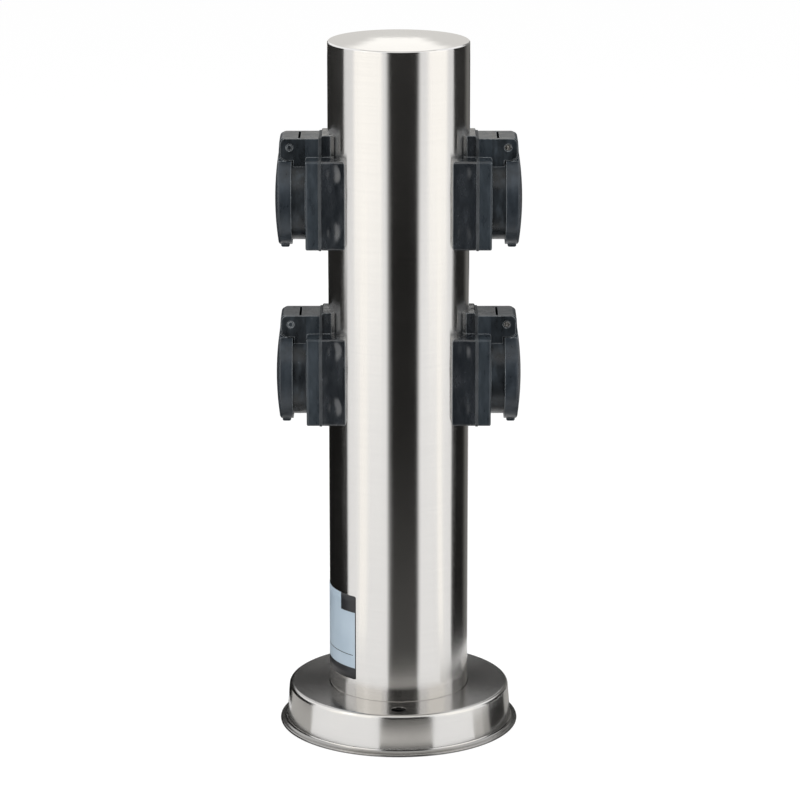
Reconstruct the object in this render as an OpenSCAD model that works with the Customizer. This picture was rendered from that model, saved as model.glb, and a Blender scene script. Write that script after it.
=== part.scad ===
// Garden socket post: a brushed steel tube on a round pressed base, with four weatherproof
// outlets, two on each side, whose sprung lids open outwards and up.
// The origin is the centre of the footprint, on the ground, with +Z up.

/* [Post] */
// Height of the whole post
post_h = 380; // [310:1:480]
// Outside diameter of the tube
tube_d = 76; // [63:0.1:92]
// Wall of the tube
tube_wall = 1.2; // [0.8:0.1:2]
// Rise of the cap above the end of the tube
cap_rise = 1.6; // [1.2:0.1:3]
// How far the cap's spigot goes down into the tube
cap_spigot = 12; // [6:1:20]

/* [Base] */
// Height of the pressed base cover
base_h = 22; // [17:0.5:30]
// How far the top of the cover reaches out from the tube
base_reach = 22.5; // [20:0.5:30]
// How much wider the wall of the cover is at the ground
base_draft = 1.3; // [0:0.1:3]
// Width of the turned-out rim
rim_w = 3.7; // [2.5:0.1:6]
// Sheet thickness of the cover
base_wall = 1.5; // [1:0.1:2]
// Distance from the tube to the centre of a ground fixing hole
fixing_inset = 12; // [10:0.5:14]
// Diameter of a ground fixing hole
fixing_d = 8; // [5:0.5:9]
// Diameter of the supply cable
cable_d = 10; // [8:0.5:13]

/* [Outlets] */
// Distance from the top of the post to the centre of the upper outlets
top_drop = 85.5; // [60:0.5:110]
// Distance between the upper and the lower outlets
outlet_pitch = 96.5; // [80:0.5:116]
// Diameter of the recess that takes the plug
recess_d = 39; // [38:0.5:47]
// Depth of the recess
recess_depth = 17.5; // [15:0.5:20]
// Wall of the collar round the recess
collar_wall = 2.9; // [2.4:0.1:3.4]
// How far the collar stands out from the frame
collar_reach = 9.7; // [8:0.1:13]
// Thickness of the frame
frame_t = 7; // [5:0.1:8]
// Thickness of the gasket
gasket_t = 1.3; // [1:0.1:3]
// How far the edge of the gasket stands out past the frame
gasket_proud = 0.35; // [0:0.05:1]
// Distance from the tube to the front of the saddle
saddle_step = 3.2; // [2.6:0.1:6]
// Distance between the two contacts
pole_pitch = 19; // [16:0.5:22]

/* [Lids] */
// Gap between the collar and the rim of the lid
lid_gap = 0.9; // [0.6:0.1:1.4]
// Wall of the lid's rim
lid_wall = 1.7; // [1.4:0.1:2.4]
// Distance from the lid's edge to the axis of the hinge
hinge_rise = 4.3; // [4:0.1:5]
// Distance from the end of the collar back to the axis of the hinge
hinge_setback = 1.1; // [0.8:0.1:1.4]
// Diameter of the hinge pin
pin_d = 3; // [2:0.1:3.2]
// Width of the hinge
hinge_w = 24; // [22:0.5:28]
// Thickness of the dome's crown above the lid's edge
lid_crown = 2; // [1:0.1:3]

/* [Hidden] */
$fn = 96;
OUTLETS = [["upper_left", 180, 0], ["upper_right", 0, 0], ["lower_left", 180, 1], ["lower_right", 0, 1]];
OUTLET_PIECES = ["saddle", "gasket", "frame", "insert", "contacts", "earth_strap", "back_bracket",
    "lid", "lid_seal", "hinge_pin", "lid_spring"];
COMMON_PIECES = ["post_tube", "top_cap", "base_cover", "foot_plate", "foot_screws", "cable_grommet",
    "terminal_bracket", "terminal_block", "line_wires", "neutral_wires", "earth_wires", "earth_stud",
    "socket_screws", "insert_screws"];

steel = "#c4c2be";
bright_steel = "#dddbd8";
moulded_black = "#1c2027";
rubber_black = "#2b2e33";
grey_plastic = "#c9ccca";
brass = "#c8a44a";

eps = 0.01;
fit_gap = 0.2;

// Tube and cap
tube_r = tube_d / 2;
bore_r = tube_r - tube_wall;
tube_top = post_h - cap_rise;
cap_edge_r = 1.2;
cap_plate = 1.4;
cap_skirt = 1.5;

// Base
cover_r = tube_r + base_reach;
cover_foot_r = cover_r + base_draft;
rim_r = cover_foot_r + rim_w;
cover_edge_r = 2.2;
cover_root_r = 1.8;
fixing_r = tube_r + fixing_inset;
plate_t = 5;
plate_r = cover_r - base_wall - 2;
foot_collar_wall = 4;
foot_collar_top = 40;
boss_r = fixing_d / 2 + 3;
boss_gap = 1;
foot_screw_z = 12.5;
foot_screw_r = 2;
foot_screw_angles = [30, 150, 270];
grommet_hole_r = cable_d / 2 + 5;
grommet_flange = 3.5;
grommet_flange_t = 2;

// Outlet, seen from its own centre: u is the distance out from the axis of the tube, v runs
// sideways and w runs up
saddle_u = tube_r + saddle_step;
gasket_u = saddle_u + gasket_t;
frame_u = gasket_u + frame_t;
collar_u = frame_u + collar_reach;
floor_u = collar_u - recess_depth;
floor_t = 3;
cup_u = floor_u - floor_t;
recess_r = recess_d / 2;
collar_r = recess_r + collar_wall;
cup_r = recess_r + 0.9;
cutout_r = cup_r + 1.1;
lid_bore_r = collar_r + lid_gap;
lid_r = lid_bore_r + lid_wall;
frame_w = 2 * lid_r;
frame_h = 2 * lid_r - 2;
frame_corner_r = 1.6;
frame_edge_r = 1.2;

// Hinge housing of the frame
pin_u = collar_u - hinge_setback;
pin_w = lid_r + hinge_rise;
pin_r = pin_d / 2;
housing_w = pin_w + 4.7;
roof_t = 1;
roof_u = pin_u - 5.9;
ear_t = 2.2;
ear_reach = 4.9;
ear_arc_r = 7.05;
ear_corner_r = 3;
web_u = collar_u - 3.1;
housing_wall = 1.5;
stop_w = pin_w - 6;
saddle_neck_w = hinge_w - 1;
saddle_neck_top = housing_w + 1.5;

// Lid
lid_back_u = collar_u - 2.2;
lid_front_u = lid_back_u + 7.1;
lid_edge_r = 1;
lid_plate = 2.1;
dome_r = (pow(lid_r, 2) + pow(lid_crown, 2)) / (2 * lid_crown);
hood_half = hinge_w / 2 - ear_t - fit_gap;
hood_back_u = pin_u - 4.6;
hood_front_u = pin_u + 5.4;
hood_skin = 1.3;
hood_corner_r = 2.5;
neck_back_u = pin_u - 0.6;
knuckle_r = 3.3;
pin_seat = 0.6;
pin_sink = 0.2;
pin_slot_w = 0.5;
pin_slot_t = 0.7;
pin_hole_gap = 0.06;
pin_ring_gap = 0.5;
mark_r = pin_r + 0.4;
mark_w = 0.6;
mark_t = 0.35;
knuckle_in = 4.8;
tab_half = 7;
tab_drop = 0.6;
tab_u = lid_back_u + 1.3;
tab_t = 4.7;
seal_gap = 0.15;
seal_w = 3.4;

// Fasteners
screw_v = frame_w / 2 - 5.5;
screw_w = frame_h / 2 - 5;
screw_r = 1.75;
screw_head_r = 2.9;
screw_head_t = 2;
screw_sink = 2.2;
bracket_t = 2;
centre_screw_r = 1.6;
centre_head_r = 3.2;
centre_head_t = 1.8;

// Contacts and wiring
insert_w = pole_pitch + 11;
insert_h = 26;
insert_u = cup_u - 14.7;
terminal_u = insert_u + 1;
pole_hole_r = 2.75;
sleeve_r = 3.4;
sleeve_bore_r = 2.45;
sleeve_bore_len = 9.7;
strap_w = 5;
strap_t = 1;
strap_leg_w = recess_r - 1.3;
strap_nose_w = recess_r - 3.1;
earth_terminal_w = -8;
wire_r = 1.4;
wire_bend_r = 6;
wire_steps = [3, 9];
block_back = -18;
block_front = 12;
block_w = 31;
block_z = [75, 95];
wire_seat_z = block_z[1] - 5;
bracket_plate_t = 1.5;
stud_x = 21;
stud_r = 2.5;

// Lid spring, a torsion spring round the pin
spring_wire_r = 0.35;
spring_r = 2.4;
spring_turns = 5.25;
spring_lean = 8;
spring_half = 3.6;
spring_rings = 8;
spring_sides = 6;

function upper_z() = post_h - top_drop;
function outlet_z(level) = upper_z() - level * outlet_pitch;
// Points along a round stretch of an outline
function arc(cx, cy, r, a0, a1, n = 8) =
    [for (i = [0:n]) let (a = a0 + (a1 - a0) * i / n) [cx + r * cos(a), cy + r * sin(a)]];

// Placing

module at_outlet(o) translate([0, 0, outlet_z(o[2])]) rotate([0, 0, o[1]]) children();
// A front view, drawn in v and w, made solid from u0 to u1
module front_slab(u0, u1) translate([u0, 0, 0]) rotate([90, 0, 90]) linear_extrude(u1 - u0) children();
// A side view, drawn in u and w, made solid from v0 to v1
module side_slab(v0, v1) translate([0, v1, 0]) rotate([90, 0, 0]) linear_extrude(v1 - v0) children();
// A half section, drawn in radius and u, turned round the outlet's own axis
module turned() rotate([0, 90, 0]) rotate_extrude() children();
module rod(r, u0, u1) translate([u0, 0, 0]) rotate([0, 90, 0]) cylinder(r = r, h = u1 - u0);
module at_poles() for (s = [-1, 1]) translate([0, s * pole_pitch / 2, 0]) children();
module at_corners() for (v = [-1, 1], w = [-1, 1]) translate([0, v * screw_v, w * screw_w]) children();
module rounded_rect(w, h, r) polygon(concat(
    arc(w / 2 - r, h / 2 - r, r, 0, 90), arc(r - w / 2, h / 2 - r, r, 90, 180),
    arc(r - w / 2, r - h / 2, r, 180, 270), arc(w / 2 - r, r - h / 2, r, 270, 360)));
// Half of a plate's section, with its front edge rounded, mirrored into a whole one
module cushion_section(u0, u1, half, r) for (m = [0, 1]) mirror([0, m])
    polygon(concat([[u0, 0], [u0, half]], arc(u1 - r, half - r, r, 90, 0, 5), [[u1, 0]]));

// Post

module post_tube() color(steel) difference() {
    translate([0, 0, plate_t]) cylinder(r = tube_r, h = tube_top - plate_t);
    translate([0, 0, plate_t - eps]) cylinder(r = bore_r, h = tube_top);
    for (o = OUTLETS) at_outlet(o) {
        rod(cutout_r, 0, tube_r + 1);
        at_corners() rod(screw_r + fit_gap, 0, tube_r + 1);
    }
    for (a = foot_screw_angles) rotate([0, 0, a]) translate([0, 0, foot_screw_z])
        rod(foot_screw_r, bore_r - 1, tube_r + 1);
}

module top_cap() color(bright_steel) rotate_extrude() {
    crown_r = pow(tube_r, 2) / (cap_rise - 0.3);
    flat_z = post_h - crown_r + sqrt(pow(crown_r, 2) - pow(tube_r - cap_edge_r, 2));
    crown = [for (i = [0:6]) let (r = (tube_r - cap_edge_r) * i / 6)
        [r, post_h - crown_r + sqrt(pow(crown_r, 2) - pow(r, 2))]];
    polygon(concat(crown, arc(tube_r - cap_edge_r, flat_z - cap_edge_r, cap_edge_r, 75, 0, 6),
        [[tube_r, tube_top + 0.25], [tube_r - 0.3, tube_top], [bore_r - 0.05, tube_top],
         [bore_r - 0.05, tube_top - cap_spigot + 0.6], [bore_r - 0.65, tube_top - cap_spigot],
         [bore_r - cap_skirt, tube_top - cap_spigot], [bore_r - cap_skirt, tube_top - cap_plate],
         [0, tube_top - cap_plate]]));
}

// The pressed cover: its half section is the outer line, then the inner one a wall inside it
module base_cover() color(steel) difference() {
    wall = base_wall;
    root = cover_root_r;
    rotate_extrude() polygon(concat(
        [[tube_r + fit_gap, base_h - 0.3], [tube_r + fit_gap + 0.3, base_h]],
        arc(cover_r - cover_edge_r, base_h - cover_edge_r, cover_edge_r, 90, 4, 8),
        arc(cover_foot_r + root, wall + root, root, 176, 270, 8),
        arc(rim_r - wall / 2, wall / 2, wall / 2, 90, -90, 8),
        [[cover_foot_r + root, 0]],
        arc(cover_foot_r + root, wall + root, root + wall, 268, 180, 6),
        arc(cover_r - cover_edge_r, base_h - cover_edge_r, cover_edge_r - wall, 4, 90, 6),
        [[tube_r + fit_gap, base_h - wall]]));
    for (s = [-1, 1]) translate([0, s * fixing_r, base_h - 2 * wall])
        cylinder(d = fixing_d, h = 4 * wall);
}

module foot_plate() color("#55575a") difference() {
    union() {
        rotate_extrude() polygon([[0, 0], [plate_r, 0], [plate_r, plate_t - 1], [plate_r - 1, plate_t],
            [bore_r, plate_t], [bore_r, foot_collar_top - 1], [bore_r - 1, foot_collar_top],
            [bore_r - foot_collar_wall, foot_collar_top], [bore_r - foot_collar_wall, plate_t],
            [0, plate_t]]);
        intersection() {
            for (s = [-1, 1]) translate([0, s * fixing_r, plate_t - eps])
                cylinder(r = boss_r, h = base_h - base_wall - plate_t + eps);
            cylinder(r = plate_r + 1, h = base_h);
        }
    }
    for (s = [-1, 1]) translate([0, s * fixing_r, -eps]) cylinder(d = fixing_d + boss_gap, h = base_h);
    translate([0, 0, -eps]) cylinder(r = grommet_hole_r, h = plate_t + 1);
    translate([0, 0, -eps])
        cylinder(r = grommet_hole_r + grommet_flange + 1, h = grommet_flange_t + 0.2 + eps);
    for (a = foot_screw_angles) rotate([0, 0, a]) translate([0, 0, foot_screw_z])
        rod(foot_screw_r - 0.1, bore_r - foot_collar_wall - 1, bore_r + 1);
}

module foot_screws() color("#b8bbbe") for (a = foot_screw_angles) rotate([0, 0, a])
    translate([0, 0, foot_screw_z]) difference() {
        union() {
            rod(foot_screw_r - 0.1, bore_r - foot_collar_wall, tube_r);
            rod(3.4, tube_r, tube_r + 2.2);
        }
        translate([tube_r + 1.2, 0, 0]) rotate([0, 90, 0]) cylinder(r = 1.5, h = 2, $fn = 6);
    }

module cable_grommet() color(rubber_black) rotate_extrude() {
    seat = grommet_flange_t + 0.2;
    reach = grommet_hole_r + grommet_flange;
    lip = cable_d / 2 + 2;
    polygon([[cable_d / 2, 0.2], [reach, 0.2], [reach, seat], [grommet_hole_r, seat],
        [grommet_hole_r, plate_t], [reach - 0.5, plate_t], [reach - 1.5, plate_t + grommet_flange_t],
        [lip + 1, plate_t + grommet_flange_t + 0.5], [lip, plate_t + 7], [cable_d / 2, plate_t + 7]]);
}

// Wiring at the foot

module terminal_bracket() color("#b8bbbe") {
    foot = 11;
    translate([0, 0, plate_t]) union() {
        translate([block_back - foot, -11, 0]) cube([foot, 22, bracket_plate_t]);
        translate([block_back - bracket_plate_t, -11, 0])
            cube([bracket_plate_t, 22, block_z[1] - plate_t + 4]);
    }
}

module terminal_block() color(grey_plastic) difference() {
    translate([block_back, -block_w / 2, block_z[0]])
        cube([block_front - block_back, block_w, block_z[1] - block_z[0]]);
    for (y = [-1, 0, 1]) {
        for (x = wire_steps, s = [-1, 1]) translate([s * x, y * pole_pitch / 2, wire_seat_z])
            cylinder(r = wire_r, h = 10);
        translate([6, y * pole_pitch / 2, block_z[0] - 1]) cylinder(r = wire_r, h = 7);
        for (z = [5, 15]) translate([block_front - 4, y * pole_pitch / 2, block_z[0] + z])
            rotate([0, 90, 0]) cylinder(r = 2.2, h = 5);
    }
    for (y = [-1, 1]) translate([block_front - 6, y * pole_pitch / 4 - 0.5, block_z[0] - 1])
        cube([7, 1, block_z[1] - block_z[0] + 2]);
}

// One conductor, from its seat in the terminal block up to the back of an outlet
module outlet_wire(x, y, rise, end_u) {
    run_u = x + wire_bend_r;
    translate([x, y, wire_seat_z]) cylinder(r = wire_r, h = rise - wire_bend_r - wire_seat_z);
    translate([run_u, y, rise - wire_bend_r]) rotate([90, 0, 0]) rotate([0, 0, 90])
        rotate_extrude(angle = 90) translate([wire_bend_r, 0]) circle(r = wire_r);
    translate([run_u, y, rise]) rotate([0, 90, 0]) cylinder(r = wire_r, h = end_u - run_u);
}
// The upper outlets take the inner conductors and the lower ones the outer, so that none cross
module pole_wires(y, w) for (m = [0, 1], level = [0, 1]) mirror([m, 0, 0])
    outlet_wire(wire_steps[level], y, outlet_z(level) + w, terminal_u);

module line_wires() color("#6b4327") pole_wires(pole_pitch / 2, 0);
module neutral_wires() color("#2f5fa8") pole_wires(-pole_pitch / 2, 0);
module earth_wires() color("#8aa52c") {
    pole_wires(0, earth_terminal_w);
    lug_z = plate_t + 6.6;
    bend_z = lug_z + wire_bend_r;
    translate([6, 0, bend_z]) cylinder(r = wire_r, h = block_z[0] + 6 - bend_z);
    translate([6 + wire_bend_r, 0, bend_z]) rotate([90, 0, 0]) rotate([0, 0, 180])
        rotate_extrude(angle = 90) translate([wire_bend_r, 0]) circle(r = wire_r);
    translate([6 + wire_bend_r, 0, lug_z]) rotate([0, 90, 0]) cylinder(r = wire_r, h = 4);
}

module earth_stud() color(brass) translate([stud_x, 0, plate_t]) {
    cylinder(r = stud_r, h = 15);
    for (z = [0, 5.2]) translate([0, 0, z]) difference() {
        cylinder(r = 4.6, h = 4, $fn = 6);
        translate([0, 0, -1]) cylinder(r = stud_r, h = 6);
    }
    // The crimped lug that the earth conductor ends in
    difference() {
        union() {
            translate([0, 0, 4]) cylinder(r = 5, h = 1.2);
            translate([-9, -2.4, 4]) cube([7, 4.8, 1.2]);
            translate([-9, -2.4, 4]) cube([3.2, 4.8, 4.8]);
        }
        translate([0, 0, 3]) cylinder(r = stud_r, h = 4);
        translate([-10, 0, 6.6]) rotate([0, 90, 0]) cylinder(r = wire_r, h = 5);
    }
}

module socket_screws() color("#b8bbbe") for (o = OUTLETS) at_outlet(o) at_corners() difference() {
    tip_u = sqrt(pow(bore_r, 2) - pow(screw_v, 2)) - bracket_t - 3;
    union() {
        rod(screw_r, tip_u, frame_u - screw_sink + eps);
        rod(screw_head_r, frame_u - screw_sink, frame_u - screw_sink + screw_head_t);
    }
    for (a = [0, 90]) rotate([a, 0, 0]) translate([frame_u - screw_sink + 0.9, -0.45, -1.6])
        cube([3, 0.9, 3.2]);
}

module insert_screws() color("#b8bbbe") for (o = OUTLETS) at_outlet(o) difference() {
    union() {
        rod(centre_screw_r, insert_u + 3, floor_u - centre_head_t + eps);
        rod(centre_head_r, floor_u - centre_head_t, floor_u);
    }
    translate([floor_u - 0.8, -centre_head_r, -0.5]) cube([2, 2 * centre_head_r, 1]);
}

// Outlet

module saddle() color(moulded_black) difference() {
    union() {
        difference() {
            intersection() {
                union() {
                    front_slab(0, saddle_u) rounded_rect(frame_w, frame_h, frame_corner_r);
                    front_slab(0, saddle_u) translate([-saddle_neck_w / 2, 0])
                        square([saddle_neck_w, saddle_neck_top]);
                }
                side_slab(-frame_w, frame_w) translate([0, (saddle_neck_top - frame_h / 2) / 2])
                    cushion_section(0, saddle_u, (saddle_neck_top + frame_h / 2) / 2, 0.8);
            }
            translate([0, 0, -frame_h]) cylinder(r = tube_r, h = 2 * frame_h + saddle_neck_top);
        }
        rod(cutout_r - fit_gap, sqrt(pow(bore_r, 2) - pow(cutout_r, 2)) - 2, saddle_u);
    }
    rod(cup_r + 0.1, 0, saddle_u + 1);
    at_corners() rod(screw_r + fit_gap, 0, saddle_u + 1);
}

module gasket() color(rubber_black) difference() {
    front_slab(saddle_u, gasket_u) {
        rounded_rect(frame_w + 2 * gasket_proud, frame_h + 2 * gasket_proud, frame_corner_r + gasket_proud);
        translate([-hinge_w / 2 - gasket_proud, 0])
            square([hinge_w + 2 * gasket_proud, housing_w + gasket_proud]);
    }
    rod(cup_r + 0.1, saddle_u - 1, gasket_u + 1);
    at_corners() rod(screw_r + fit_gap, saddle_u - 1, gasket_u + 1);
}

// Side view of the hinge's ears: a round nose about the pin, and a web down on to the collar
module ear_outline() {
    front_u = pin_u + ear_reach;
    nose_a = acos(ear_reach / ear_arc_r);
    web_a = acos((web_u - pin_u) / ear_arc_r);
    foot_w = lid_r - 9;
    polygon(concat([[gasket_u, foot_w], [gasket_u, housing_w]],
        arc(front_u - ear_corner_r, housing_w - ear_corner_r, ear_corner_r, 90, 0),
        arc(pin_u, pin_w, ear_arc_r, -nose_a, -web_a, 10),
        [[web_u, foot_w]]));
}

module hinge_housing() difference() {
    side_slab(-hinge_w / 2, hinge_w / 2) ear_outline();
    // The room that the lid's hood turns in, open at the front and under the roof. The hood's back
    // edge comes down on its floor when the lid is fully open.
    side_slab(ear_t - hinge_w / 2, hinge_w / 2 - ear_t) polygon([[gasket_u + housing_wall, stop_w],
        [web_u + eps, stop_w], [web_u + eps, 0], [collar_u + 20, 0], [collar_u + 20, housing_w + 5],
        [roof_u, housing_w + 5], [roof_u, housing_w - roof_t],
        [gasket_u + housing_wall, housing_w - roof_t]]);
}

module frame() color(moulded_black) {
    slot_half = strap_w / 2 + 0.6;
    rib_half = 2.6;
    difference() {
        union() {
            intersection() {
                front_slab(gasket_u, frame_u) rounded_rect(frame_w, frame_h, frame_corner_r);
                side_slab(-frame_w, frame_w) cushion_section(gasket_u, frame_u, frame_h / 2, frame_edge_r);
                translate([0, 0, -frame_h]) linear_extrude(2 * frame_h)
                    cushion_section(gasket_u, frame_u, frame_w / 2, frame_edge_r);
            }
            hinge_housing();
            rod(collar_r, gasket_u, collar_u);
            rod(cup_r, cup_u, gasket_u + eps);
        }
        rod(recess_r, floor_u, collar_u + 30);
        at_poles() rod(pole_hole_r, cup_u - 1, floor_u + 1);
        for (s = [0, 1]) mirror([0, 0, s]) translate([cup_u - 1, -slot_half, strap_nose_w - 0.2])
            cube([floor_t + 2, 2 * slot_half, strap_leg_w - strap_nose_w + 0.4]);
        rod(centre_screw_r + fit_gap, cup_u - 1, floor_u);
        rod(centre_head_r, floor_u - centre_head_t, floor_u + 1);
        at_corners() {
            rod(screw_r + fit_gap, gasket_u - 1, frame_u + 1);
            rod(screw_head_r + fit_gap, frame_u - screw_sink, frame_u + 1);
        }
        translate([pin_u, hinge_w / 2 - pin_seat, pin_w]) rotate([90, 0, 0]) cylinder(r = pin_r, h = hinge_w);
        translate([pin_u, 1 - hinge_w / 2, pin_w]) rotate([90, 0, 0])
            cylinder(r = pin_r + pin_ring_gap, h = 2);
        // Ring moulded in the other ear, over the blind end of the pin's hole
        translate([pin_u, hinge_w / 2 + 1, pin_w]) rotate([90, 0, 0]) difference() {
            cylinder(r = mark_r, h = 1 + mark_t);
            translate([0, 0, -1]) cylinder(r = mark_r - mark_w, h = 4);
        }
    }
    // Guide ribs on both sides of the recess
    for (s = [0, 1]) mirror([0, s, 0]) intersection() {
        translate([floor_u - eps, recess_r - 1.8, -rib_half]) cube([recess_depth - 2, 3, 2 * rib_half]);
        rod(recess_r + 0.3, floor_u - eps, collar_u);
    }
}

module insert() color(grey_plastic) difference() {
    union() {
        intersection() {
            front_slab(insert_u, cup_u) rounded_rect(insert_w, insert_h, 3);
            rod(cup_r - fit_gap, insert_u - 1, cup_u + 1);
        }
        rod(recess_r, cup_u - 2.5, cup_u);
    }
    at_poles() {
        rod(sleeve_r + 0.1, terminal_u, cup_u + 1);
        rod(wire_r + fit_gap, insert_u - 1, terminal_u + eps);
    }
    translate([0, 0, earth_terminal_w]) {
        rod(2.8, terminal_u, cup_u + 1);
        rod(wire_r + fit_gap, insert_u - 1, terminal_u + eps);
    }
    rod(centre_screw_r, insert_u + 2, cup_u + 1);
    // Channel for the earth strap
    translate([cup_u - strap_t - 0.1, -strap_w / 2 - fit_gap, -strap_leg_w - fit_gap])
        cube([strap_t + 1, strap_w + 2 * fit_gap, 2 * (strap_leg_w + fit_gap)]);
    rod(4.8, cup_u - strap_t - 0.1, cup_u + 1);
}

module contacts() color(brass) at_poles() difference() {
    rod(sleeve_r, terminal_u, cup_u);
    rod(sleeve_bore_r, cup_u - sleeve_bore_len, cup_u + 1);
    translate([cup_u - sleeve_bore_len + 1, -5, -0.4]) cube([sleeve_bore_len, 10, 0.8]);
}

// The strap runs behind the floor and ends in two sprung noses, above and below the plug
module earth_strap() color(brass) difference() {
    union() {
        for (m = [0, 1]) mirror([0, 0, m]) side_slab(-strap_w / 2, strap_w / 2) polygon([
            [cup_u - strap_t, 0], [cup_u - strap_t, strap_leg_w], [floor_u + 4, strap_leg_w],
            [floor_u + 8, strap_nose_w + strap_t], [floor_u + 12, strap_leg_w + 0.3],
            [floor_u + 12.5, strap_leg_w - 0.6], [floor_u + 8, strap_nose_w],
            [floor_u + 3.7, strap_leg_w - strap_t], [cup_u, strap_leg_w - strap_t], [cup_u, 0]]);
        rod(4.5, cup_u - strap_t, cup_u);
        translate([0, 0, earth_terminal_w]) rod(2.6, terminal_u, cup_u - strap_t + eps);
    }
    rod(centre_screw_r + 0.3, insert_u, cup_u + 1);
}

// Clamp plate inside the tube, with the four threaded holes
module back_bracket() color("#9fa2a5") difference() {
    reach = frame_w / 2 - 1.5;
    rise = frame_h / 2 - 0.5;
    intersection() {
        translate([0, 0, -rise]) cylinder(r = bore_r, h = 2 * rise);
        translate([0, -reach, -rise]) cube([tube_r, 2 * reach, 2 * rise]);
    }
    translate([0, 0, -frame_h]) cylinder(r = bore_r - bracket_t, h = 2 * frame_h);
    rod(cutout_r, 0, tube_r + 1);
    at_corners() rod(screw_r, 0, tube_r + 1);
}

// Lid

module lid_solid() {
    edge_u = lid_front_u - lid_edge_r;
    crown = [for (i = [0:10]) let (r = (lid_r - lid_edge_r) * i / 10)
        [r, lid_front_u + lid_crown - dome_r + sqrt(pow(dome_r, 2) - pow(r, 2))]];
    turned() polygon(concat(crown, arc(lid_r - lid_edge_r, edge_u, lid_edge_r, 80, 0, 5),
        [[lid_r, lid_back_u], [0, lid_back_u]]));
    // Neck, hood and finger tab, in side view
    side_slab(-hinge_w / 2, hinge_w / 2)
        polygon([[neck_back_u, 14], [lid_front_u - 0.1, 14], [lid_front_u - 0.1, pin_w - 4.5],
            [neck_back_u, pin_w - 4.5]]);
    side_slab(-hood_half, hood_half) polygon(concat([[neck_back_u, 14], [lid_front_u - 0.1, 14],
        [lid_front_u - 0.1, pin_w - 5.3]],
        arc(hood_front_u - hood_corner_r, housing_w - hood_corner_r, hood_corner_r, 0, 90),
        [[hood_back_u, housing_w], [hood_back_u, pin_w - 4.5], [neck_back_u, pin_w - 4.5]]));
    side_slab(-tab_half, tab_half) polygon(concat([[tab_u, -lid_r + 4], [tab_u, -lid_r - tab_drop + 1]],
        arc(tab_u + 1, -lid_r - tab_drop + 1, 1, 180, 270, 4),
        arc(tab_u + tab_t - 1, -lid_r - tab_drop + 1, 1, 270, 360, 4), [[tab_u + tab_t, -lid_r + 4]]));
}

module lid() color(moulded_black) difference() {
    ceiling_u = lid_front_u - lid_plate;
    groove_r = lid_bore_r - 0.4 - seal_w;
    hood_in_w = housing_w - hood_skin;
    lid_solid();
    // Inside of the rim, with the groove that holds the seal
    turned() polygon([[0, lid_back_u - 1], [lid_bore_r, lid_back_u - 1], [lid_bore_r, ceiling_u],
        [groove_r, ceiling_u], [groove_r, ceiling_u - 1.5], [groove_r - 1.1, ceiling_u - 1.5],
        [groove_r - 1.1, ceiling_u + 0.8], [0, ceiling_u + 0.8]]);
    // Hollow of the hood: full height between the knuckles, and behind them at the knuckles
    side_slab(-knuckle_in, knuckle_in) polygon(concat([[hood_back_u - 1, pin_w - 5],
        [hood_front_u - hood_skin, pin_w - 5]],
        arc(hood_front_u - hood_corner_r, housing_w - hood_corner_r, hood_corner_r - hood_skin, 0, 90, 5),
        [[hood_back_u - 1, hood_in_w]]));
    for (s = [0, 1]) mirror([0, s, 0]) side_slab(knuckle_in - eps, hood_half + 1) difference() {
        translate([hood_back_u - 1, pin_w - 5]) square([pin_u - hood_back_u + 1, hood_in_w - pin_w + 5]);
        translate([pin_u, pin_w]) circle(r = knuckle_r);
    }
    // Room for the ears to turn in
    for (s = [0, 1]) mirror([0, s, 0]) translate([pin_u, hood_half + 5, pin_w]) rotate([90, 0, 0])
        cylinder(r = ear_arc_r + 0.45, h = 5);
    translate([pin_u, hinge_w, pin_w]) rotate([90, 0, 0]) cylinder(r = pin_r + pin_hole_gap, h = 2 * hinge_w);
}

module lid_seal() color(rubber_black) turned() {
    ceiling_u = lid_front_u - lid_plate;
    outer = lid_bore_r - 0.4;
    polygon([[outer - seal_w + 0.05, ceiling_u], [outer - seal_w + 0.05, collar_u + seal_gap + 0.5],
        [outer - seal_w + 0.55, collar_u + seal_gap], [outer - 0.5, collar_u + seal_gap],
        [outer, collar_u + seal_gap + 0.5], [outer, ceiling_u]]);
}

// The pin, with the slot across its outer end
module hinge_pin() color(bright_steel) difference() {
    translate([pin_u, hinge_w / 2 - pin_seat, pin_w]) rotate([90, 0, 0])
        cylinder(r = pin_r, h = hinge_w - pin_seat - pin_sink);
    translate([pin_u - pin_slot_w / 2, pin_sink - hinge_w / 2 - 1, pin_w - pin_r - 1])
        cube([pin_slot_w, pin_slot_t + 1, 2 * pin_r + 2]);
}

// Line of the spring: up from its seat on the collar, round the pin, and out to the lid's skin
function spring_line() = let (
    seat_w = sqrt(pow(collar_r, 2) - pow(spring_half, 2)) + 0.05,
    start_a = 180 + spring_lean,
    start = [pin_u + spring_r * cos(start_a), pin_w + spring_r * sin(start_a)],
    count = round(spring_turns * spring_rings),
    sweep = 360 * spring_turns + spring_lean)
    concat([[start[0] + (start[1] - seat_w) * tan(spring_lean), -spring_half, seat_w]],
        [for (i = [0:count]) let (a = start_a - sweep * i / count)
            [pin_u + spring_r * cos(a), spring_half * (2 * i / count - 1), pin_w + spring_r * sin(a)]],
        [[hood_front_u - hood_skin - spring_wire_r - fit_gap, spring_half, pin_w + spring_r]]);

function unit(v) = v / norm(v);
// One ring of a tube round each point of a line that never runs along v
function tube_ring(p, t, r, sides) = let (a = unit(cross(t, [0, 1, 0])), b = cross(a, t))
    [for (k = [0:sides - 1]) p + r * (cos(360 * k / sides) * a + sin(360 * k / sides) * b)];

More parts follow.
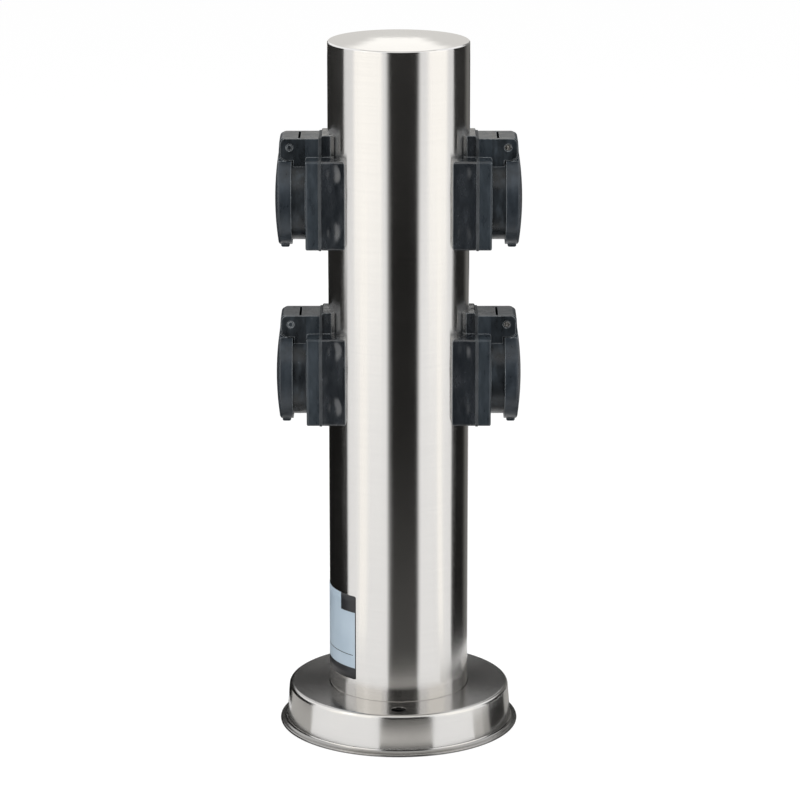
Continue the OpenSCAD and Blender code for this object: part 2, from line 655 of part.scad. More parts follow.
module wire_tube(line, r, sides) {
    last = len(line) - 1;
    rings = [for (i = [0:last])
        tube_ring(line[i], unit(line[min(i + 1, last)] - line[max(i - 1, 0)]), r, sides)];
    walls = [for (i = [0:last - 1]) for (k = [0:sides - 1]) let (
        a = i * sides + k, b = i * sides + (k + 1) % sides) each
        [[a, b, b + sides], [a, b + sides, a + sides]]];
    caps = [for (k = [1:sides - 2]) each
        [[0, k + 1, k], [last * sides, last * sides + k, last * sides + k + 1]]];
    polyhedron(points = [for (ring = rings) each ring], faces = concat(walls, caps));
}

module lid_spring() color("#a9acb0") wire_tube(spring_line(), spring_wire_r, spring_sides);

// The least gap between two turns of the spring, from points a whole turn apart
echo(least_spring_gap = let (line = spring_line(), n = spring_rings)
    min([for (i = [2:len(line) - n - 3]) norm(line[i + n] - line[i])]) - 2 * spring_wire_r);

post_tube();
top_cap();
base_cover();
foot_plate();
foot_screws();
cable_grommet();
terminal_bracket();
terminal_block();
line_wires();
neutral_wires();
earth_wires();
earth_stud();
socket_screws();
insert_screws();
for (o = OUTLETS) {
    at_outlet(o) saddle();
    at_outlet(o) gasket();
    at_outlet(o) frame();
    at_outlet(o) insert();
    at_outlet(o) contacts();
    at_outlet(o) earth_strap();
    at_outlet(o) back_bracket();
    at_outlet(o) lid();
    at_outlet(o) lid_seal();
    at_outlet(o) hinge_pin();
    at_outlet(o) lid_spring();
}
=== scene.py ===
"""Looks of the garden socket post: finishes, bare sticker, stage, light and camera."""
import math

import bmesh
import bpy
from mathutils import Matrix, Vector


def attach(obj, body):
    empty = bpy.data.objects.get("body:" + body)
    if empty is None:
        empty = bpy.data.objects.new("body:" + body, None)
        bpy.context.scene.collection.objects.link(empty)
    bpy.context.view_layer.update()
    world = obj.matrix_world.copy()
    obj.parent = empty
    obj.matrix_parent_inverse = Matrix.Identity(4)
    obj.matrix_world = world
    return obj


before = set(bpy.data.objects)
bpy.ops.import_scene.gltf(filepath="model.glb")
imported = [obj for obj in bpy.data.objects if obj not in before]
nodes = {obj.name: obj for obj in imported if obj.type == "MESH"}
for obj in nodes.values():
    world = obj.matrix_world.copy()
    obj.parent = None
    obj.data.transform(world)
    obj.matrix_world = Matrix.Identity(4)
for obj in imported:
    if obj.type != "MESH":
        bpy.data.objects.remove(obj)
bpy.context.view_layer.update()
scene = bpy.context.scene

MM = 0.001

# Places on the post
OUTLETS = ("upper_left", "upper_right", "lower_left", "lower_right")
TUBE_R = 38 * MM
BASE_R = 61 * MM
BASE_TOP = 21.6 * MM
RIM_R = 65.5 * MM
RIM_TOP = 2.6 * MM
FLANGE_FRONT = 49.7 * MM
OUTLET_PITCH = 96.5 * MM
OUTLET_FOOT = 198 * MM - OUTLET_PITCH / 2

# The shallow hollows in the saddles' side faces: their distance from the post's middle plane, their
# heights from the middle of the outlet, half their width, and how deep they are
SINK_X = 34.8 * MM
SINK_Z = (17.5 * MM, -14 * MM)
SINK_R = 5 * MM
SINK_WIDTH_TO_HEIGHT = 0.62
SINK_DEPTH = 1.6 * MM
SINK_SHARE = 0.5
SINK_SHARE_RIGHT = 0.55

# The sticker: directions of its sides, in degrees to the left of the front, and its heights
LABEL_START, LABEL_END = 38.0, 128.0
LABEL_LOW, LABEL_HIGH = 32 * MM, 79.5 * MM
LABEL_LIFT = (0.02 * MM, 0.12 * MM)
LABEL_CORNER = 0.4 * MM
BLOCK_W, BLOCK_LOW = 11.7 * MM, 70.2 * MM
BAND_HIGH = 38.4 * MM
LABEL_EDGE = 0.45 * MM
RULE_START, RULE_END = 2 * MM, 58 * MM
RULE_LOW, RULE_HIGH = 45.4 * MM, 45.8 * MM

# Where the photograph was taken from, with the lens tilted down at the post
CAMERA_AT = (0, -1.88, 0.678)
CAMERA_AIM = (0.0007, 0, 0.1822)
CAMERA_LENS = 160.9
CAMERA_SENSOR = 36

# The studio: the world's light, the floor, the radii of the cards, and the directions of the dark
# front one, in degrees. Cards are made in steps of CARD_STEP degrees, in layers above the floor.
AMBIENT = 0.6
FLOOR_R, FLOOR_Z, FLOOR_SIDES = 4, -0.2 * MM, 96
FLOOR_GLOW, FLOOR_GLOW_MIRRORED = 0.8, 0.6
# Painted shade: the radius of the dark patch of floor under the post
SHADE_PATCH_R = 60 * MM
NEAR_R = 72.5 * MM
CAP_CARD_R, CAP_GLOW_R = 0.3, 0.29
FAR_R = 1.1
FRONT = (-22, 36.8)
FRONT_TOP = 1.1
CARD_STEP = 4
CARD_WHITE = (1, 0.98, 0.94)
LAYER = 0.1 * MM
LAMP_AIM = (0, 0, 0.2)

# Finishes
WHITE, BLACK = (1, 1, 1, 1), (0, 0, 0, 1)
BEVEL_SAMPLES = 6
# Painted shade: how much darker the base's top and its rim are painted
TOP_PAINTED_DARKER, RIM_PAINTED_DARKER = 0.34, 0.5
# Painted highlight: the paler colour of the black plastic's sharp edges
PAINTED_EDGE_HIGHLIGHT = (0.34, 0.365, 0.385, 1)
DUST_COLOUR = (0.32, 0.33, 0.34, 1)
PRINT_COLOUR = (0.02, 0.021, 0.024, 1)


# Shader nodes

def node(tree, kind, inputs=None, **settings):
    """Adds a shader node. An input is a value, or the socket that feeds it."""
    made = tree.nodes.new("ShaderNode" + kind)
    for key, value in settings.items():
        setattr(made, key, value)
    for key, value in (inputs or {}).items():
        if isinstance(value, bpy.types.NodeSocket):
            tree.links.new(value, made.inputs[key])
        else:
            made.inputs[key].default_value = value
    return made


def maths(tree, operation, a, b=0.0):
    return node(tree, "Math", {0: a, 1: b}, operation=operation).outputs[0]


def spread(tree, value, low, high, start=0.3, end=0.7, **settings):
    """Maps a value that runs from start to end on to low to high, and holds it there."""
    inputs = {0: value, 1: start, 2: end, 3: low, 4: high}
    return node(tree, "MapRange", inputs, **settings).outputs[0]


def mixed(tree, factor, a, b, **settings):
    """Colour a, going over to colour b with the factor."""
    return node(tree, "Mix", {0: factor, 6: a, 7: b}, data_type="RGBA", **settings).outputs[2]


def shades(tree, value, stops):
    """A colour ramp: pairs of value and colour."""
    ramp = node(tree, "ValToRGB", {0: value})
    line = ramp.color_ramp
    while len(line.elements) < len(stops):
        line.elements.new(0.5)
    for element, (at, colour) in zip(line.elements, stops):
        element.position = at
        element.color = (*colour, 1)
    return ramp.outputs[0]


def toned(tree, value, colour, *stops):
    """One colour made darker and paler: pairs of value and factor."""
    return shades(tree, value, [(at, [c * factor for c in colour]) for at, factor in stops])


def here(tree):
    """The point on the piece at rest, in metres."""
    return node(tree, "TexCoord").outputs["Object"]


def axes(tree):
    """The x, y and z of the point on the piece at rest."""
    return node(tree, "SeparateXYZ", {0: here(tree)}).outputs


def place(tree, scale=(1, 1, 1)):
    """The point on the piece at rest, stretched by scale."""
    return node(tree, "Mapping", {"Vector": here(tree), "Scale": scale}).outputs[0]


def flat_reach(tree):
    """How far the point is from the post's axis."""
    flat = node(tree, "VectorMath", {0: here(tree), 1: (1, 1, 0)}, operation="MULTIPLY").outputs[0]
    return node(tree, "VectorMath", {0: flat}, operation="LENGTH").outputs["Value"]


def noise(tree, vector, scale, detail=3.0, rough=0.5):
    inputs = {"Vector": vector, "Scale": scale, "Detail": detail, "Roughness": rough}
    return node(tree, "TexNoise", inputs).outputs[0]


def rounded(tree, radius):
    """The normal with the edges rounded."""
    return node(tree, "Bevel", {"Radius": radius}, samples=BEVEL_SAMPLES).outputs[0]


def link(tree, socket, shader, key):
    tree.links.new(socket, shader.inputs[key])


def bump(tree, shader, layers, edge=0.0):
    """Bumps one over another: pairs of height and depth in metres. Edge is the radius to which the
    edges are rounded in the shading."""
    normal = rounded(tree, edge) if edge else None
    for height, depth in layers:
        inputs = {"Strength": 1.0, "Distance": depth, "Height": height}
        if normal:
            inputs["Normal"] = normal
        normal = node(tree, "Bump", inputs).outputs[0]
    link(tree, normal, shader, "Normal")


def plain_material(name):
    mat = bpy.data.materials.new(name)
    mat.use_nodes = True
    mat.node_tree.nodes.clear()
    return mat, mat.node_tree


def finish_material(tree, shader):
    out = node(tree, "OutputMaterial")
    link(tree, shader.outputs[0], out, "Surface")


# Camera and stage

def aim(thing, at, target):
    """Puts a camera or lamp at a point and turns it to another."""
    thing.location = at
    thing.rotation_euler = (Vector(target) - Vector(at)).to_track_quat("-Z", "Y").to_euler()
    scene.collection.objects.link(thing)


def make_camera():
    data = bpy.data.cameras.new("camera")
    data.sensor_width = CAMERA_SENSOR
    data.lens = CAMERA_LENS
    data.clip_start = 0.05
    data.clip_end = 50
    camera = bpy.data.objects.new("camera", data)
    aim(camera, CAMERA_AT, CAMERA_AIM)
    scene.camera = camera


def background_rays(tree):
    """1 for the rays that see the pale background itself: camera, glossy and transmission."""
    path = node(tree, "LightPath").outputs
    seen = maths(tree, "MAXIMUM", path["Is Camera Ray"], path["Is Glossy Ray"])
    return maths(tree, "MAXIMUM", seen, path["Is Transmission Ray"])


def make_world():
    """White to the rays that see the background, and a plain level of light for the rest."""
    world = bpy.data.worlds.new("studio")
    scene.world = world
    world.use_nodes = True
    tree = world.node_tree
    tree.nodes.clear()
    strength = spread(tree, background_rays(tree), AMBIENT, 1.0, 0.0, 1.0)
    shade = node(tree, "Background", {"Color": WHITE, "Strength": strength})
    link(tree, shade.outputs[0], node(tree, "OutputWorld"), "Surface")


def mesh_piece(name, verts, faces, smooth=True, across=None):
    """A piece of its own. Across gives each vertex the first value of a UV map."""
    mesh = bpy.data.meshes.new(name)
    mesh.from_pydata(verts, [], faces)
    mesh.polygons.foreach_set("use_smooth", [smooth] * len(mesh.polygons))
    if across:
        layer = mesh.uv_layers.new(name="across")
        for loop in mesh.loops:
            layer.data[loop.index].uv = (across[loop.vertex_index], 0)
    mesh.update()
    piece = bpy.data.objects.new(name, mesh)
    scene.collection.objects.link(piece)
    return piece


def around(azimuth, radius, height):
    """A point round the post. Azimuth 0 is towards the camera and 90 to its right, in degrees."""
    a = math.radians(azimuth)
    return (radius * math.sin(a), -radius * math.cos(a), height)


def make_floor():
    """White where the camera or a reflection sees it, with part of its light left real so that the
    shadow stays. Under the post it is a dark patch, painted shade that keeps the fixing hole dark."""
    ring = [around(360 * i / FLOOR_SIDES, FLOOR_R, FLOOR_Z) for i in range(FLOOR_SIDES)]
    floor = mesh_piece("floor", ring, [list(range(FLOOR_SIDES))], smooth=False)
    mat, tree = plain_material("floor")

    def matt(level):
        return node(tree, "BsdfDiffuse", {"Color": (level, level, level, 1)}).outputs[0]

    glossy = node(tree, "LightPath").outputs["Is Glossy Ray"]
    level = spread(tree, glossy, FLOOR_GLOW, FLOOR_GLOW_MIRRORED, 0.0, 1.0)
    glow = node(tree, "Emission", {"Color": WHITE, "Strength": level}).outputs[0]
    pale = node(tree, "AddShader", {0: glow, 1: matt(0.3)}).outputs[0]
    seen = node(tree, "MixShader", {0: background_rays(tree), 1: matt(0.8), 2: pale}).outputs[0]
    # A dark patch under the post: painted shade
    under = maths(tree, "LESS_THAN", flat_reach(tree), SHADE_PATCH_R)
    finish_material(tree, node(tree, "MixShader", {0: under, 1: seen, 2: matt(0.03)}))
    floor.data.materials.append(mat)


def on_floor(layer, *radii):
    """The profile of a card on the floor. Cards that overlap lie in different layers."""
    return [(r, layer * LAYER) for r in radii]


def standing(radius, *heights):
    """The profile of a card that stands up."""
    return [(radius, z) for z in heights]


def card(name, start, end, profile, tone, soft=0.0, mirror=0.0, fades=()):
    """A studio card that only reflections see, swept between two directions, in degrees, along a
    profile of radius and height. Its sides lie so that a round mirror of the radius given shows
    them upright. Soft is how many degrees they fade over. Fades are pairs of radius and tone on the
    way out to the tone itself."""
    def azimuth(direction, radius):
        off = min(1.0, mirror / radius) * math.sin(math.radians(direction / 2))
        return direction - math.degrees(math.asin(off))

    count = max(2, round((end - start) / CARD_STEP))
    verts, across = [], []
    for i in range(count + 1):
        for r, z in profile:
            first, last = azimuth(start, r), azimuth(end, r)
            verts.append(around(first + (last - first) * i / count, r, z))
            across.append(i / count)
    n = len(profile)
    faces = [(i * n + k, i * n + k + 1, (i + 1) * n + k + 1, (i + 1) * n + k)
             for i in range(count) for k in range(n - 1)]
    piece = mesh_piece(name, verts, faces, across=across)

    mat, tree = plain_material(name)
    if fades:
        outer = profile[-1][0]
        stops = [(r / outer, (t, t, t)) for r, t in (*fades, (outer, tone))]
        level = shades(tree, maths(tree, "DIVIDE", flat_reach(tree), outer), stops)
        colour = mixed(tree, 1.0, level, (*CARD_WHITE, 1), blend_type="MULTIPLY")
    else:
        colour = (*[tone * c for c in CARD_WHITE], 1)
    shade = node(tree, "Emission", {"Color": colour, "Strength": 1.0})
    if soft:
        near_side = node(tree, "SeparateXYZ", {0: node(tree, "TexCoord").outputs["UV"]}).outputs[0]
        inner = maths(tree, "MINIMUM", near_side, maths(tree, "SUBTRACT", 1.0, near_side))
        cover = spread(tree, inner, 0.0, 1.0, 0.0, soft / (end - start),
                       interpolation_type="SMOOTHSTEP")
        clear = node(tree, "BsdfTransparent")
        shade = node(tree, "MixShader", {0: cover, 1: clear.outputs[0], 2: shade.outputs[0]})
    finish_material(tree, shade)
    piece.data.materials.append(mat)
    piece.visible_camera = False
    piece.visible_diffuse = False
    piece.visible_shadow = False
    piece.visible_transmission = False


def soft_light(name, azimuth, distance, height, size, power):
    """A soft lamp that reflections do not see, turned to the middle of the post."""
    data = bpy.data.lights.new(name, "AREA")
    data.shape = "RECTANGLE"
    data.size, data.size_y = size
    data.energy = power
    lamp = bpy.data.objects.new(name, data)
    aim(lamp, around(azimuth, distance, height), LAMP_AIM)
    lamp.visible_camera = False
    lamp.visible_glossy = False


def make_dark_cards():
    """The dark parts of the studio, which make the dark bands on the tube and the base's top."""
    card("card_near", -21, 36, on_floor(7, NEAR_R, 0.1, 0.15), 0.03, soft=3, mirror=BASE_R,
         fades=[(0.077, 0.04), (0.082, 0.28), (0.09, 0.54), (0.104, 0.74), (0.122, 0.6),
                (0.134, 0.06)])
    card("card_front", *FRONT, on_floor(6, 0.15, 0.6, FAR_R) + standing(FAR_R, FRONT_TOP), 0.01,
         soft=9, mirror=TUBE_R,
         fades=[(0.16, 0.02), (0.2, 0.055), (0.26, 0.07), (0.35, 0.05), (0.44, 0.034),
                (0.7, 0.013)])
    card("card_front_high", *FRONT, standing(1.09, 0.2, FRONT_TOP), 0.04, soft=9, mirror=TUBE_R)
    card("card_left", -170, -94, on_floor(5, 0.079, 0.3, FAR_R), 0.009, mirror=TUBE_R)
    card("card_right", 98, 160, on_floor(5, 0.15, 0.3, FAR_R), 0.012, mirror=TUBE_R)
    card("card_edge", 128, 176, on_floor(9, 0.15, 0.3, 1.05) + standing(1.05, 0.9), 0.17, soft=22,
         mirror=TUBE_R)
    card("card_back", 98, 262.5, standing(FAR_R, 5 * LAYER, 0.49), 0.022)


def make_cap_cards():
    """What the domed cap shows: grey, with a bright lens in its middle."""
    card("card_cap", 162, 198, standing(CAP_CARD_R, 0.325, 0.7), 0.7)
    card("glow_cap_low", 175.3, 184.7, standing(CAP_GLOW_R, 0.4225, 0.431), 1.13, soft=2.5)
    card("glow_cap_middle", 174, 186, standing(CAP_GLOW_R, 0.431, 0.44), 1.13, soft=2.5)
    card("glow_cap", 172, 188, standing(CAP_GLOW_R, 0.44, 0.7), 1.1, soft=3)


def make_wall_cards():
    """What the wall and rim of the base show of the floor close to it."""
    wall_run = on_floor(6, NEAR_R, 0.1, 0.13)
    # A dark ring on the floor round the rim: painted shadow of the floor by the post, seen in the
    # rim and wall
    card("card_foot_shade", 0, 360, on_floor(4, RIM_R, NEAR_R), 0.06)
    card("card_wall_left", -150, -101, wall_run, 0.45, mirror=BASE_R)
    card("card_wall_grey", 83, 97, wall_run, 0.5, mirror=BASE_R)
    card("card_wall_dim", 97, 107, wall_run, 0.34, mirror=BASE_R)
    card("card_wall_dark", 107, 143, wall_run, 0.01, mirror=BASE_R,
         fades=[(0.08, 0.03), (0.095, 0.02)])
    card("card_wall_right", 143, 178, wall_run, 0.38, mirror=BASE_R)


def make_bright_cards():
    """The bright parts of the studio, which make the bright bands on the tube."""
    floor_run = on_floor(8, 0.2, 0.6, FAR_R)
    high_run = standing(FAR_R, 8 * LAYER, 0.8, 1.6)
    card("glow_left_floor", -72, -46, floor_run, 1.12, soft=11)
    card("glow_left_wall", -80, -22.5, high_run, 1.2, soft=8)
    card("glow_right_floor", 60, 78, floor_run, 1.14, soft=8)
    card("glow_right_wall", 43, 89, high_run, 1.2, soft=10)
    card("card_above", 0, 360, [(0.01, 1.9), (0.45, 1.85), (0.9, 1.7)], 0.7)
    card("lamp_left", -66, -50, standing(1.0, 0.5, 1.1), 2.2, soft=6)


def make_stage():
    make_world()
    make_floor()
    make_dark_cards()
    make_cap_cards()
    make_wall_cards()
    make_bright_cards()
    soft_light("light_left", -52, 1.5, 0.75, (0.7, 1.3), 9)
    soft_light("light_right", 58, 1.5, 0.75, (0.5, 1.3), 8)
    soft_light("light_top", 10, 0.6, 1.9, (1.0, 1.0), 9)


# Finishes

def material(name, **values):
    """A material with one Principled shader. Values are plain numbers for its sockets."""
    mat, tree = plain_material(name)
    shader = node(tree, "BsdfPrincipled")
    for key, value in values.items():
        socket = key.replace("_", " ").title().replace("Ior", "IOR")
        shader.inputs[socket].default_value = value
    finish_material(tree, shader)
    return mat, tree, shader


def turned_grain(tree):
    """Fine and coarse streaks that run round the post, on walls and flat tops alike."""
    x, y, z = axes(tree)
    along = maths(tree, "ADD", flat_reach(tree), z)
    grains = []
    for round_scale, across_scale in ((45, 5200), (18, 1300)):
        vector = node(tree, "CombineXYZ", {
            0: maths(tree, "MULTIPLY", x, round_scale),
            1: maths(tree, "MULTIPLY", y, round_scale),
            2: maths(tree, "MULTIPLY", along, across_scale)}).outputs[0]
        grains.append(noise(tree, vector, 1.0, 2.0))
    return grains


def brushed_steel(name, colour, roughness, anisotropic, edge=0.0, painted_darker_parts=()):
    """Steel brushed round its axis: the streaks run round, so reflections stretch across them.
    Painted_darker_parts lists the parts painted darker, as painted shade: a test of height, the
    height, and how much darker."""
    mat, tree, shader = material(name, metallic=1.0, anisotropic=anisotropic,
                                 anisotropic_rotation=0.25)
    fine, coarse = turned_grain(tree)
    streaks = maths(tree, "ADD", maths(tree, "MULTIPLY", fine, 0.6),
                    maths(tree, "MULTIPLY", coarse, 0.4))
    tone = toned(tree, streaks, colour, (0.36, 0.975), (0.52, 1.0), (0.66, 1.015))
    # Parts painted darker: painted shade
    for test, height, darker in painted_darker_parts:
        part = maths(tree, test, axes(tree)[2], height)
        tone = mixed(tree, maths(tree, "MULTIPLY", part, darker), tone, BLACK)
    link(tree, tone, shader, "Base Color")
    cloud = noise(tree, here(tree), 16.0, 4.0)
    rough = maths(tree, "ADD", spread(tree, streaks, roughness * 0.93, roughness * 1.07),
                  spread(tree, cloud, -0.02, 0.02))
    link(tree, rough, shader, "Roughness")
    tangent = node(tree, "Tangent", direction_type="RADIAL", axis="Z").outputs[0]
    link(tree, tangent, shader, "Tangent")
    bump(tree, shader, [(fine, 0.0015 * MM), (coarse, 0.002 * MM)], edge)
    return mat


def sink_marks(tree):
    """Height of the hollows in the saddles' side faces, one above and one below each middle, and
    shallower on the right."""
    x, _, z = axes(tree)
    out = maths(tree, "SUBTRACT", maths(tree, "ABSOLUTE", x), SINK_X)
    rise = maths(tree, "MODULO", maths(tree, "SUBTRACT", z, OUTLET_FOOT), OUTLET_PITCH)
    up = maths(tree, "SUBTRACT", rise, OUTLET_PITCH / 2)
    height = SINK_SHARE
    for middle in SINK_Z:
        above = maths(tree, "MULTIPLY", maths(tree, "SUBTRACT", up, middle), SINK_WIDTH_TO_HEIGHT)
        away = maths(tree, "SQRT", maths(tree, "ADD", maths(tree, "MULTIPLY", out, out),
                                         maths(tree, "MULTIPLY", above, above)))
        hollow = spread(tree, away, 0.0, 1.0, 0.0, SINK_R, interpolation_type="SMOOTHERSTEP")
        height = maths(tree, "MULTIPLY", height, hollow)
    side = spread(tree, x, 1.0, SINK_SHARE_RIGHT, -SINK_R, SINK_R)
    return maths(tree, "MULTIPLY", height, side)


def highlight_edge_mask(tree, radius):
    """1 along sharp edges, where the rounded normal leaves the flat one: where the paler painted
    highlight goes.
    """
    flat = node(tree, "NewGeometry").outputs["Normal"]
    match = node(tree, "VectorMath", {0: rounded(tree, radius), 1: flat}, operation="DOT_PRODUCT")
    return spread(tree, match.outputs["Value"], 0.0, 1.0, 0.985, 0.86)


def black_plastic(name, colour, roughness, wave, marks=0.0, ior=1.5, level=0.5, shade_beyond=0.0):
    """Moulded blue-black plastic: slow waves in its faces, sink marks, a fine grain, a little dust,
    and sharp edges painted paler, a painted highlight. Wave and marks are depths. Shade_beyond is
    the distance from the post's middle beyond which it is painted darker, as painted shade with
    lighter streaks."""
    mat, tree, shader = material(name, ior=ior, specular_ior_level=level)
    at = here(tree)
    waves = noise(tree, place(tree, (1, 1, 0.6)), 120.0, 1.0, 0.4)
    smears = noise(tree, place(tree, (1, 1, 0.35)), 210.0, 4.0, 0.6)
    grain = noise(tree, at, 5200.0, 2.0)

    tone = toned(tree, smears, colour, (0.32, 0.75), (0.5, 1.0), (0.7, 1.4))
    # Beyond the flange front the plastic is painted darker: painted shade, with lighter streaks
    if shade_beyond:
        outer = maths(tree, "GREATER_THAN", maths(tree, "ABSOLUTE", axes(tree)[0]), shade_beyond)
        painted_shade_tone = toned(tree, smears, colour, (0.35, 0.3), (0.55, 0.6), (0.72, 1.3))
        tone = mixed(tree, outer, tone, painted_shade_tone)
    # Sharp edges painted paler: a painted highlight
    highlight_amount = maths(tree, "MULTIPLY", highlight_edge_mask(tree, 0.6 * MM), spread(tree, smears, 0.55, 1.0))
    highlighted_tone = mixed(tree, highlight_amount, tone, PAINTED_EDGE_HIGHLIGHT)

    cells = node(tree, "TexVoronoi", {"Vector": at, "Scale": 420.0, "Randomness": 1.0})
    specks = spread(tree, cells.outputs["Distance"], 0.0, 1.0, 0.075, 0.04)
    sparse = spread(tree, noise(tree, at, 130.0, 1.0), 0.0, 1.0, 0.58, 0.64)
    dust = maths(tree, "MULTIPLY", maths(tree, "MULTIPLY", specks, sparse), 0.5)
    link(tree, mixed(tree, dust, highlighted_tone, DUST_COLOUR), shader, "Base Color")
    link(tree, spread(tree, smears, roughness - 0.07, roughness + 0.09), shader, "Roughness")

    layers = [(waves, wave), (grain, 0.012 * MM)]
    if marks:
        layers.insert(0, (sink_marks(tree), marks))
    bump(tree, shader, layers, 0.4 * MM)
    return mat


def grained(name, colour, tones, clouds, grains, rough, depth, edge, stretch=(1, 1, 1), **values):
    """A slightly cloudy colour and a fine grain. Clouds and grains are scales, rough is the range
    of the roughness, and stretch draws the grain out."""
    mat, tree, shader = material(name, **values)
    cloud = noise(tree, here(tree), clouds, 4.0)
    grain = noise(tree, place(tree, stretch), grains)
    link(tree, toned(tree, cloud, colour, *tones), shader, "Base Color")
    link(tree, spread(tree, grain, *rough), shader, "Roughness")
    bump(tree, shader, [(grain, depth)], edge)
    return mat


def rubber(name, colour):
    return grained(name, colour, ((0.3, 0.8), (0.7, 1.5)), 160.0, 3000.0, (0.55, 0.75),
                   0.03 * MM, 0.3 * MM, ior=1.45)


def moulded(name, colour, roughness=0.5):
    """A plain moulded plastic of the inside."""
    return grained(name, colour, ((0.3, 0.9), (0.7, 1.06)), 70.0, 2600.0,
                   (roughness - 0.06, roughness + 0.08), 0.015 * MM, 0.3 * MM, ior=1.48)


def metal(name, colour, roughness, stretch=(1, 1, 1), depth=0.01 * MM, edge=0.25 * MM):
    """A plain drawn, turned or cast metal of the inside."""
    return grained(name, colour, ((0.3, 0.85), (0.5, 1.0), (0.75, 1.08)), 110.0, 1400.0,
                   (roughness - 0.07, roughness + 0.1), depth, edge, stretch, metallic=1.0)


def two_colour_wire(name):
    """Green insulation with a yellow stripe along it."""
    mat, tree, shader = material(name, ior=1.48, roughness=0.42)
    wave = node(tree, "TexWave", {"Vector": here(tree), "Scale": 210.0, "Distortion": 0.6})
    stripes = [(0.45, (0.05, 0.24, 0.05)), (0.55, (0.72, 0.6, 0.05))]
    link(tree, shades(tree, wave.outputs["Fac"], stripes), shader, "Base Color")
    bump(tree, shader, [(noise(tree, here(tree), 2400.0), 0.01 * MM)])
    return mat


def sticker(name):
    """Pale film with a plain dark block, a band, an edge and a rule: the places of a printed
    sticker, left bare."""
    mat, tree, shader = material(name, ior=1.46)
    x, y, z = axes(tree)
    turn = maths(tree, "ARCTAN2", maths(tree, "MULTIPLY", x, -1.0),
                 maths(tree, "MULTIPLY", y, -1.0))
    from_start = maths(tree, "SUBTRACT", turn, math.radians(LABEL_START))
    across = maths(tree, "MULTIPLY", from_start, TUBE_R)

    def over(value, low):
        return maths(tree, "GREATER_THAN", value, low)

    def under(value, high):
        return maths(tree, "LESS_THAN", value, high)

    def both(a, b):
        return maths(tree, "MULTIPLY", a, b)

    dark = both(under(across, BLOCK_W), over(z, BLOCK_LOW))
    rule = both(both(over(across, RULE_START), under(across, RULE_END)),
                both(over(z, RULE_LOW), under(z, RULE_HIGH)))
    for part in (under(z, BAND_HIGH), under(across, LABEL_EDGE), rule):
        dark = maths(tree, "MAXIMUM", dark, part)
    cloud = noise(tree, here(tree), 60.0, 4.0)
    film = shades(tree, cloud, [(0.3, (0.4, 0.49, 0.57)), (0.7, (0.46, 0.55, 0.63))])
    link(tree, mixed(tree, dark, film, PRINT_COLOUR), shader, "Base Color")
    link(tree, spread(tree, cloud, 0.28, 0.36), shader, "Roughness")
    bump(tree, shader, [(cloud, 0.04 * MM)])
    return mat


def dress(names, mat):
    for name in names:
        slots = nodes[name].data.materials
        slots.clear()
        slots.append(mat)


def outlet_nodes(*pieces):
    return ["%s_%s" % (outlet, piece) for outlet in OUTLETS for piece in pieces]


def make_steel_finishes():
    dress(["post_tube"], brushed_steel("tube_steel", (0.8, 0.785, 0.765), 0.165, 0.85))
    dress(["top_cap"], brushed_steel("cap_steel", (0.83, 0.82, 0.81), 0.07, 0.3))
    # The base's top and rim are painted darker: painted shade
    dress(["base_cover"], brushed_steel(
        "base_steel", (0.79, 0.777, 0.76), 0.19, 0.6, edge=0.3 * MM,
        painted_darker_parts=[("GREATER_THAN", BASE_TOP, TOP_PAINTED_DARKER), ("LESS_THAN", RIM_TOP, RIM_PAINTED_DARKER)]))


def make_outlet_finishes():
    dress(outlet_nodes("saddle"), black_plastic(
        "saddle_plastic", (0.015, 0.0185, 0.023), 0.22, 0.7 * MM, SINK_DEPTH, ior=1.6, level=1.0))
    # The frame's collar and ears beyond the flange front are painted darker: painted shade
    dress(outlet_nodes("frame"), black_plastic(
        "frame_plastic", (0.026, 0.034, 0.042), 0.31, 0.5 * MM, shade_beyond=FLANGE_FRONT))
    dress(outlet_nodes("lid"), black_plastic(
        "lid_plastic", (0.02, 0.0265, 0.034), 0.33, 0.3 * MM))
    dress(outlet_nodes("gasket"), rubber("gasket_rubber", (0.038, 0.042, 0.046)))
    dress(outlet_nodes("lid_seal") + ["cable_grommet"],
          rubber("seal_rubber", (0.014, 0.015, 0.017)))
    dress(outlet_nodes("hinge_pin"), metal("pin_steel", (0.74, 0.73, 0.71), 0.25, (1, 0.1, 1)))
    dress(outlet_nodes("lid_spring"), metal("spring_steel", (0.56, 0.55, 0.53), 0.3, edge=0.0))


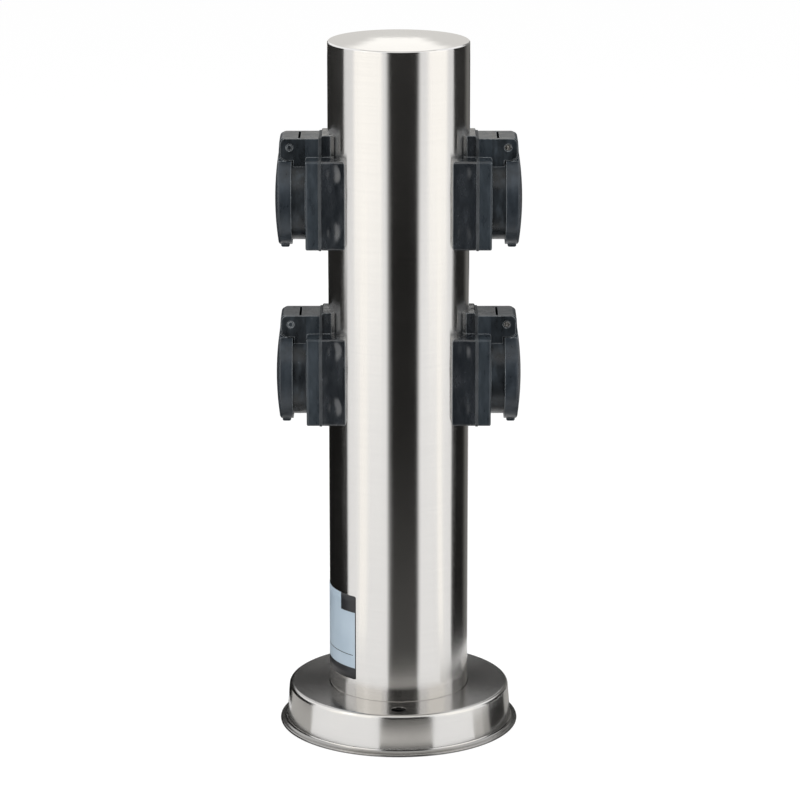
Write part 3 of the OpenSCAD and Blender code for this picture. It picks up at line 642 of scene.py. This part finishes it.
def make_inner_finishes():
    dress(outlet_nodes("insert") + ["terminal_block"],
          moulded("insert_plastic", (0.6, 0.61, 0.59)))
    dress(outlet_nodes("contacts", "earth_strap") + ["earth_stud"],
          metal("contact_brass", (0.78, 0.56, 0.26), 0.3, (1, 1, 0.1)))
    dress(outlet_nodes("back_bracket")
          + ["foot_screws", "terminal_bracket", "socket_screws", "insert_screws"],
          metal("zinc_plate", (0.66, 0.67, 0.68), 0.34))
    # The foot plate is made very dark: painted shade in the fixing hole
    dress(["foot_plate"], metal("foot_alloy", (0.06, 0.061, 0.063), 0.6, depth=0.06 * MM))
    dress(["line_wires"], moulded("line_insulation", (0.16, 0.07, 0.03), 0.42))
    dress(["neutral_wires"], moulded("neutral_insulation", (0.03, 0.13, 0.42), 0.42))
    dress(["earth_wires"], two_colour_wire("earth_insulation"))


# Sticker

def make_label():
    """A thin film wrapped on the tube, with small round corners."""
    columns, rows = 60, 12
    width = math.radians(LABEL_END - LABEL_START) * TUBE_R
    bm = bmesh.new()
    layers = []
    for lift in LABEL_LIFT:
        grid = []
        for i in range(columns + 1):
            s = width * i / columns
            short = LABEL_CORNER - min(s, width - s, LABEL_CORNER)
            inset = LABEL_CORNER - math.sqrt(LABEL_CORNER ** 2 - short ** 2)
            low, high = LABEL_LOW + inset, LABEL_HIGH - inset
            turn = -LABEL_START - math.degrees(s / TUBE_R)
            grid.append([bm.verts.new(around(turn, TUBE_R + lift, low + (high - low) * k / rows))
                         for k in range(rows + 1)])
        layers.append(grid)
    back, front = layers
    for grid in layers:
        for i in range(columns):
            for k in range(rows):
                bm.faces.new((grid[i][k], grid[i + 1][k], grid[i + 1][k + 1], grid[i][k + 1]))
    edge = ([(i, 0) for i in range(columns)] + [(columns, k) for k in range(rows)]
            + [(i, rows) for i in range(columns, 0, -1)] + [(0, k) for k in range(rows, 0, -1)])
    for (a, b), (c, d) in zip(edge, edge[1:] + edge[:1]):
        bm.faces.new((back[a][b], back[c][d], front[c][d], front[a][b]))
    bmesh.ops.recalc_face_normals(bm, faces=bm.faces)
    mesh = bpy.data.meshes.new("label")
    bm.to_mesh(mesh)
    bm.free()
    mesh.polygons.foreach_set("use_smooth", [True] * len(mesh.polygons))
    label = bpy.data.objects.new("label", mesh)
    scene.collection.objects.link(label)
    label.data.materials.append(sticker("label_film"))
    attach(label, "post")


make_camera()
make_stage()
make_steel_finishes()
make_outlet_finishes()
make_inner_finishes()
make_label()
scene.view_settings.view_transform = "Standard"
